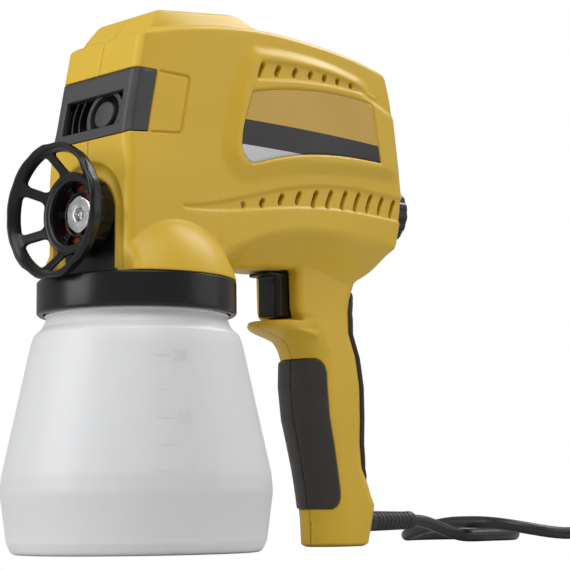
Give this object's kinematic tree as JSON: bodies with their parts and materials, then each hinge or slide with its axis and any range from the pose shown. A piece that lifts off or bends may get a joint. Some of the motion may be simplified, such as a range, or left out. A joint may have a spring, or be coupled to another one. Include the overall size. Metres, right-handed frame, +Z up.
{
  "type": "airless paint sprayer",
  "caption": "Handheld electric airless paint sprayer with a screw-on jar, spoked nozzle guard, sliding trigger, volume knob and mains lead.",
  "frame": {"origin": "centre of the jar's flat base, on the floor that the sprayer stands on", "axes": "+X along the spraying direction, +Y to the operator's left, +Z up along the jar's axis"},
  "size_m": [0.4404, 0.211, 0.2459],
  "materials": {
    "yellow_plastic": "glossy moulded ABS",
    "black_plastic": "glossy black moulded plastic",
    "panel_grey": "satin dark grey plastic",
    "soft_grip": "matt soft-touch rubber",
    "label_film": "printed film, gold field with a dark band",
    "milky_plastic": "translucent natural polypropylene",
    "natural_tube": "natural polyethylene",
    "steel": "machined steel",
    "nickel": "nickel-plated",
    "brass_metal": "turned brass",
    "red_seal": "red rubber seal",
    "rubber_black": "black rubber",
    "lamination": "varnished laminations",
    "winding": "varnished copper winding",
    "cord_pvc": "black PVC sheath",
    "switch_plastic": "black moulded switch body",
    "wire_pvc": "PVC insulated wires"
  },
  "bodies": {
    "housing": {"left_housing_shell": "yellow_plastic", "right_housing_shell": "yellow_plastic", "front_panel": "panel_grey", "grille_insert": "black_plastic", "left_label_plate": "label_film", "right_label_plate": "label_film", "left_grip": "soft_grip", "right_grip": "soft_grip", "rear_grip": "soft_grip", "pump_housing": "black_plastic", "pump_cylinder": "steel", "piston_spring": "steel", "valve_spring": "steel", "jar_collar": "black_plastic", "suction_tube": "natural_tube", "intake_filter": "natural_tube", "return_tube": "natural_tube", "magnet_core": "lamination", "magnet_coil": "winding", "magnet_buffer": "rubber_black", "armature_pin": "steel", "spindle_bush": "black_plastic", "trigger_spring": "steel", "micro_switch": "switch_plastic", "inner_wires": "wire_pvc", "cord_clamp": "black_plastic", "housing_screws": "steel", "strain_relief": "rubber_black", "power_cord": "cord_pvc", "cord_coil": "cord_pvc", "cord_tie": "rubber_black", "plug_body": "black_plastic", "plug_pins": "nickel"},
    "trigger": {"trigger": "black_plastic", "switch_plunger": "natural_tube"},
    "knob": {"volume_knob": "black_plastic", "adjusting_spindle": "steel"},
    "armature": {"armature": "lamination"},
    "piston": {"piston": "steel"},
    "outlet_valve": {"outlet_valve": "brass_metal"},
    "nozzle": {"nozzle_tip": "nickel", "nozzle_jet": "brass_metal", "nozzle_seal": "red_seal"},
    "guard": {"nozzle_guard": "black_plastic"},
    "jar_seat": {"jar_gasket": "rubber_black"},
    "jar": {"paint_jar": "milky_plastic"}
  },
  "joints": [
    {"name": "trigger_pull", "type": "slide", "parent": "housing", "child": "trigger", "axis": [-1, 0, 0], "range_m": [0, 0.005], "stiffness_N_per_m": 600, "springref_m": -0.004, "deforming": ["trigger_spring"]},
    {"name": "knob_turn", "type": "hinge", "parent": "housing", "child": "knob", "pos_m": [-0.165, 0, 0.1695], "axis": [1, 0, 0], "range_deg": [0, 300]},
    {"name": "armature_swing", "type": "hinge", "parent": "housing", "child": "armature", "pos_m": [-0.0405, 0, 0.1583], "axis": [0, -1, 0], "range_deg": [0, 5.12], "stiffness_Nm_per_rad": 4, "springref_deg": -4.58},
    {"name": "piston_stroke", "type": "slide", "parent": "housing", "child": "piston", "axis": [1, 0, 0], "range_m": [0, 0.00105], "deforming": ["piston_spring"]},
    {"name": "valve_lift", "type": "slide", "parent": "housing", "child": "outlet_valve", "axis": [1, 0, 0], "range_m": [0, 0.001], "stiffness_N_per_m": 400, "springref_m": -0.002, "deforming": ["valve_spring"]},
    {"name": "nozzle_out", "type": "slide", "parent": "housing", "child": "nozzle", "axis": [1, 0, 0], "range_m": [0, 0.008]},
    {"name": "guard_unscrew", "type": "hinge", "parent": "nozzle", "child": "guard", "pos_m": [0.03, 0, 0.1471], "axis": [1, 0, 0], "range_deg": [0, 720]},
    {"name": "jar_drop", "type": "slide", "parent": "housing", "child": "jar_seat", "axis": [0, 0, -1], "range_m": [0, 0.008]},
    {"name": "jar_unscrew", "type": "hinge", "parent": "jar_seat", "child": "jar", "pos_m": [0, 0, 0.05], "axis": [0, 0, -1], "range_deg": [0, 540]}
  ],
  "couplings": [
    {"joint": "piston_stroke", "follows": "armature_swing", "m_per_rad": 0.011185},
    {"joint": "nozzle_out", "follows": "guard_unscrew", "m_per_rad": 0.00062866},
    {"joint": "jar_drop", "follows": "jar_unscrew", "m_per_rad": 0.00083822}
  ]
}
